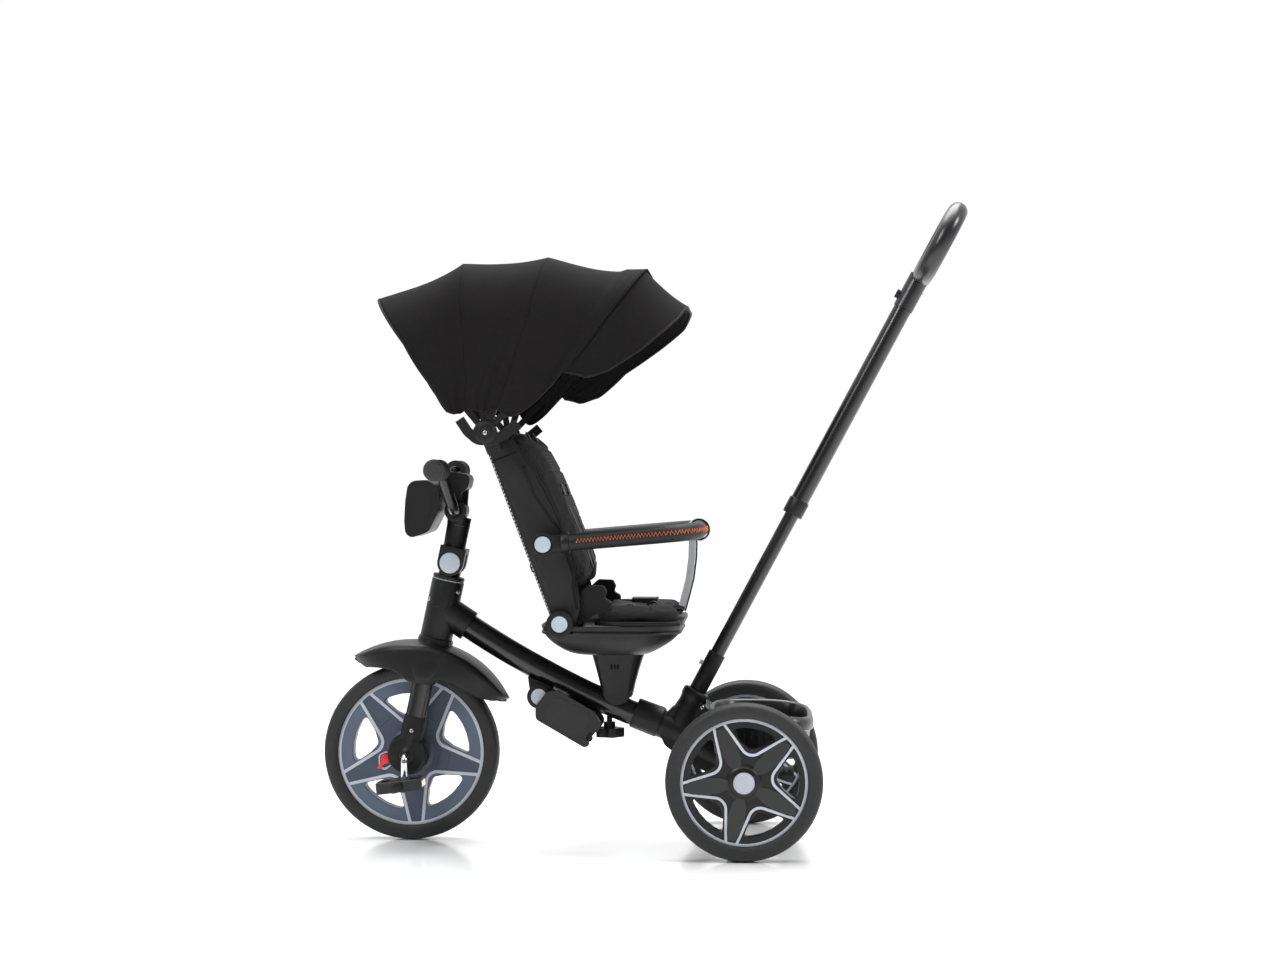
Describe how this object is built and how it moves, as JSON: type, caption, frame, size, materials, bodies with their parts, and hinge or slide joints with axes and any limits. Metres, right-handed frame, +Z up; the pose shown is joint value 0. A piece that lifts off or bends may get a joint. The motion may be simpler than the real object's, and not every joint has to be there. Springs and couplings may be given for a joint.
{
  "type": "children's tricycle",
  "caption": "Child's steerable tricycle with swivelling reclining seat, folding canopy, bumper bar, pedals, folding footrest, rear basket and sliding push handle.",
  "frame": {"origin": "middle of the overall box, on the ground under the wheels", "axes": "+X to the push handle (rear), +Y the child's right side, +Z up"},
  "size_m": [0.9865, 0.44, 0.9747],
  "materials": {
    "black_tube": "satin black powder coat",
    "black_shell": "fine-grained moulding",
    "plate_plastic": "satin moulding",
    "bush_plastic": "low-friction bush",
    "steel": "plain steel",
    "handlebar_paint": "satin black",
    "chrome": "polished",
    "tyre": "ribbed foam rubber",
    "rim_blue": "slate blue with silver lines",
    "rim_black": "black with silver lines",
    "red": "red lever",
    "grey_button": "light grey button",
    "grip_rubber": "soft ribbed grip",
    "seat_fabric": "black padded cloth",
    "canopy_fabric": "black canopy cloth",
    "bumper_leather": "black imitation leather with orange lacing",
    "strap": "grey webbing with black piping"
  },
  "bodies": {
    "frame": {"main_tube": "black_tube", "head_lug": "black_shell", "steering_bushes": "bush_plastic", "rear_lug": "black_shell", "rear_axle": "black_tube", "handle_socket": "black_shell", "handle_lower_tube": "black_tube", "rear_basket": "black_shell", "footrest_bracket": "black_shell", "seat_pedestal": "black_shell"},
    "socket_button": {"socket_button": "black_shell"},
    "brake": {"brake_pedal": "black_shell"},
    "footrest": {"footrest_pod": "black_shell"},
    "foot_plate_left": {"foot_plate_left": "plate_plastic"},
    "foot_plate_right": {"foot_plate_right": "plate_plastic"},
    "seat_knob": {"seat_knob": "black_shell"},
    "seat": {"seat_base": "black_shell", "seat_pad": "seat_fabric"},
    "recline_button_left": {"recline_button_left": "grey_button"},
    "recline_button_right": {"recline_button_right": "grey_button"},
    "backrest": {"back_shell": "black_shell", "back_pad": "seat_fabric", "canopy_hubs": "black_shell", "rear_bow": "steel"},
    "bumper": {"bumper_bar": "bumper_leather", "bumper_sockets": "black_shell", "crotch_strap": "strap"},
    "bumper_button_left": {"bumper_button_left": "grey_button"},
    "bumper_button_right": {"bumper_button_right": "grey_button"},
    "canopy_back": {"back_rib": "steel", "canopy_rear": "canopy_fabric"},
    "canopy_top": {"top_rib": "steel", "canopy_middle": "canopy_fabric"},
    "canopy_brim": {"front_bow": "steel", "canopy_front": "canopy_fabric", "canopy_visor": "canopy_fabric"},
    "fork": {"steering_post": "steel", "fender": "black_shell", "fork_blades": "black_tube", "fork_ends": "black_shell", "stem_base": "black_shell"},
    "handlebar": {"stem_clevis": "black_shell", "handlebar": "handlebar_paint", "grips": "grip_rubber", "dash_pod": "black_shell"},
    "stem_button": {"stem_button": "grey_button"},
    "horn_button": {"horn_button": "black_shell"},
    "front_wheel": {"front_tyre": "tyre", "front_disc": "rim_blue"},
    "clutch_lever": {"clutch_lever": "red"},
    "crank": {"crank": "chrome"},
    "pedal_left": {"pedal_left": "plate_plastic"},
    "pedal_right": {"pedal_right": "plate_plastic"},
    "rear_wheel_left": {"rear_tyre_left": "tyre", "rear_disc_left": "rim_black"},
    "rear_wheel_right": {"rear_tyre_right": "tyre", "rear_disc_right": "rim_black"},
    "push_handle": {"handle_upper_tube": "black_tube", "handle_loop": "grip_rubber"},
    "handle_button": {"handle_button": "black_shell"}
  },
  "joints": [
    {"name": "steering", "type": "hinge", "parent": "frame", "child": "fork", "pos_m": [-0.3575, 0, 0.1355], "axis": [0.2079, 0, 0.9781], "range_deg": [-30, 30]},
    {"name": "handlebar_fold", "type": "hinge", "parent": "fork", "child": "handlebar", "pos_m": [-0.29555, 0, 0.42699], "axis": [0, 1, 0], "range_deg": [-60, 0]},
    {"name": "stem_button_press", "type": "slide", "parent": "handlebar", "child": "stem_button", "axis": [0, 1, 0], "range_m": [0, 0.003], "stiffness_N_per_m": 300},
    {"name": "horn_press", "type": "slide", "parent": "handlebar", "child": "horn_button", "axis": [0, 0, -1], "range_m": [0, 0.0022], "stiffness_N_per_m": 300},
    {"name": "front_wheel_spin", "type": "hinge", "parent": "fork", "child": "front_wheel", "pos_m": [-0.3575, 0, 0.1355], "axis": [0, 1, 0], "continuous": true},
    {"name": "clutch_turn", "type": "hinge", "parent": "front_wheel", "child": "clutch_lever", "pos_m": [-0.3965, -0.0167, 0.124], "axis": [0, 1, 0], "range_deg": [0, 40]},
    {"name": "crank_spin", "type": "hinge", "parent": "fork", "child": "crank", "pos_m": [-0.3575, 0, 0.1355], "axis": [0, 1, 0], "continuous": true},
    {"name": "pedal_spin_left", "type": "hinge", "parent": "crank", "child": "pedal_left", "pos_m": [-0.3575, -0.121, 0.0975], "axis": [0, 1, 0], "continuous": true},
    {"name": "pedal_spin_right", "type": "hinge", "parent": "crank", "child": "pedal_right", "pos_m": [-0.3575, 0.121, 0.1735], "axis": [0, 1, 0], "continuous": true},
    {"name": "rear_wheel_spin_left", "type": "hinge", "parent": "frame", "child": "rear_wheel_left", "pos_m": [0.158, -0.195, 0.1153], "axis": [0, 1, 0], "continuous": true},
    {"name": "rear_wheel_spin_right", "type": "hinge", "parent": "frame", "child": "rear_wheel_right", "pos_m": [0.158, 0.195, 0.1153], "axis": [0, 1, 0], "continuous": true},
    {"name": "brake_press", "type": "hinge", "parent": "frame", "child": "brake", "pos_m": [0.158, 0, 0.1153], "axis": [0, 1, 0], "range_deg": [0, 12], "stiffness_Nm_per_rad": 4, "springref_deg": -2.86},
    {"name": "socket_release", "type": "slide", "parent": "frame", "child": "socket_button", "axis": [0.8813, 0, -0.4726], "range_m": [0, 0.0025], "stiffness_N_per_m": 300},
    {"name": "handle_slide", "type": "slide", "parent": "frame", "child": "push_handle", "axis": [0.4726, 0, 0.8813], "range_m": [-0.23, 0]},
    {"name": "handle_release", "type": "slide", "parent": "push_handle", "child": "handle_button", "axis": [0.8813, 0, -0.4726], "range_m": [0, 0.0025], "stiffness_N_per_m": 300},
    {"name": "footrest_fold", "type": "hinge", "parent": "frame", "child": "footrest", "pos_m": [-0.158, 0, 0.2225], "axis": [0, 1, 0], "range_deg": [0, 75]},
    {"name": "foot_plate_fold_left", "type": "hinge", "parent": "footrest", "child": "foot_plate_left", "pos_m": [-0.1302, -0.0316, 0.1707], "axis": [0.866, 0, -0.5], "range_deg": [0, 90]},
    {"name": "foot_plate_fold_right", "type": "hinge", "parent": "footrest", "child": "foot_plate_right", "pos_m": [-0.1302, 0.0316, 0.1707], "axis": [0.866, 0, -0.5], "range_deg": [-90, 0]},
    {"name": "seat_knob_turn", "type": "hinge", "parent": "frame", "child": "seat_knob", "pos_m": [-0.0514, 0, 0.166], "axis": [0, 0, 1], "continuous": true},
    {"name": "seat_swivel", "type": "hinge", "parent": "frame", "child": "seat", "pos_m": [-0.048, 0, 0.289], "axis": [0, 0, 1], "range_deg": [0, 180]},
    {"name": "recline_press_left", "type": "slide", "parent": "seat", "child": "recline_button_left", "axis": [0, 1, 0], "range_m": [0, 0.0025], "stiffness_N_per_m": 300},
    {"name": "recline_press_right", "type": "slide", "parent": "seat", "child": "recline_button_right", "axis": [0, -1, 0], "range_m": [0, 0.0025], "stiffness_N_per_m": 300},
    {"name": "backrest_recline", "type": "hinge", "parent": "seat", "child": "backrest", "pos_m": [-0.1161, 0, 0.3406], "axis": [0, 1, 0], "range_deg": [0, 15]},
    {"name": "bumper_lift", "type": "hinge", "parent": "backrest", "child": "bumper", "pos_m": [-0.1402, 0, 0.4592], "axis": [0, 1, 0], "range_deg": [-50, 0], "deforming": ["crotch_strap"]},
    {"name": "bumper_press_left", "type": "slide", "parent": "bumper", "child": "bumper_button_left", "axis": [0, 1, 0], "range_m": [0, 0.0025], "stiffness_N_per_m": 300},
    {"name": "bumper_press_right", "type": "slide", "parent": "bumper", "child": "bumper_button_right", "axis": [0, -1, 0], "range_m": [0, 0.0025], "stiffness_N_per_m": 300},
    {"name": "canopy_fold", "type": "hinge", "parent": "backrest", "child": "canopy_back", "pos_m": [-0.2243, 0, 0.6245], "axis": [0, -1, 0], "range_deg": [0, 20], "deforming": ["canopy_rear"]},
    {"name": "canopy_top_fold", "type": "hinge", "parent": "canopy_back", "child": "canopy_top", "pos_m": [-0.2243, 0, 0.6245], "axis": [0, -1, 0], "range_deg": [0, 20], "deforming": ["canopy_middle"]},
    {"name": "canopy_brim_fold", "type": "hinge", "parent": "canopy_top", "child": "canopy_brim", "pos_m": [-0.2243, 0, 0.6245], "axis": [0, -1, 0], "range_deg": [0, 20], "deforming": ["canopy_front"]}
  ],
  "couplings": [
    {"joint": "crank_spin", "follows": "front_wheel_spin", "ratio": 1},
    {"joint": "canopy_top_fold", "follows": "canopy_fold", "ratio": 1},
    {"joint": "canopy_brim_fold", "follows": "canopy_fold", "ratio": 1}
  ]
}
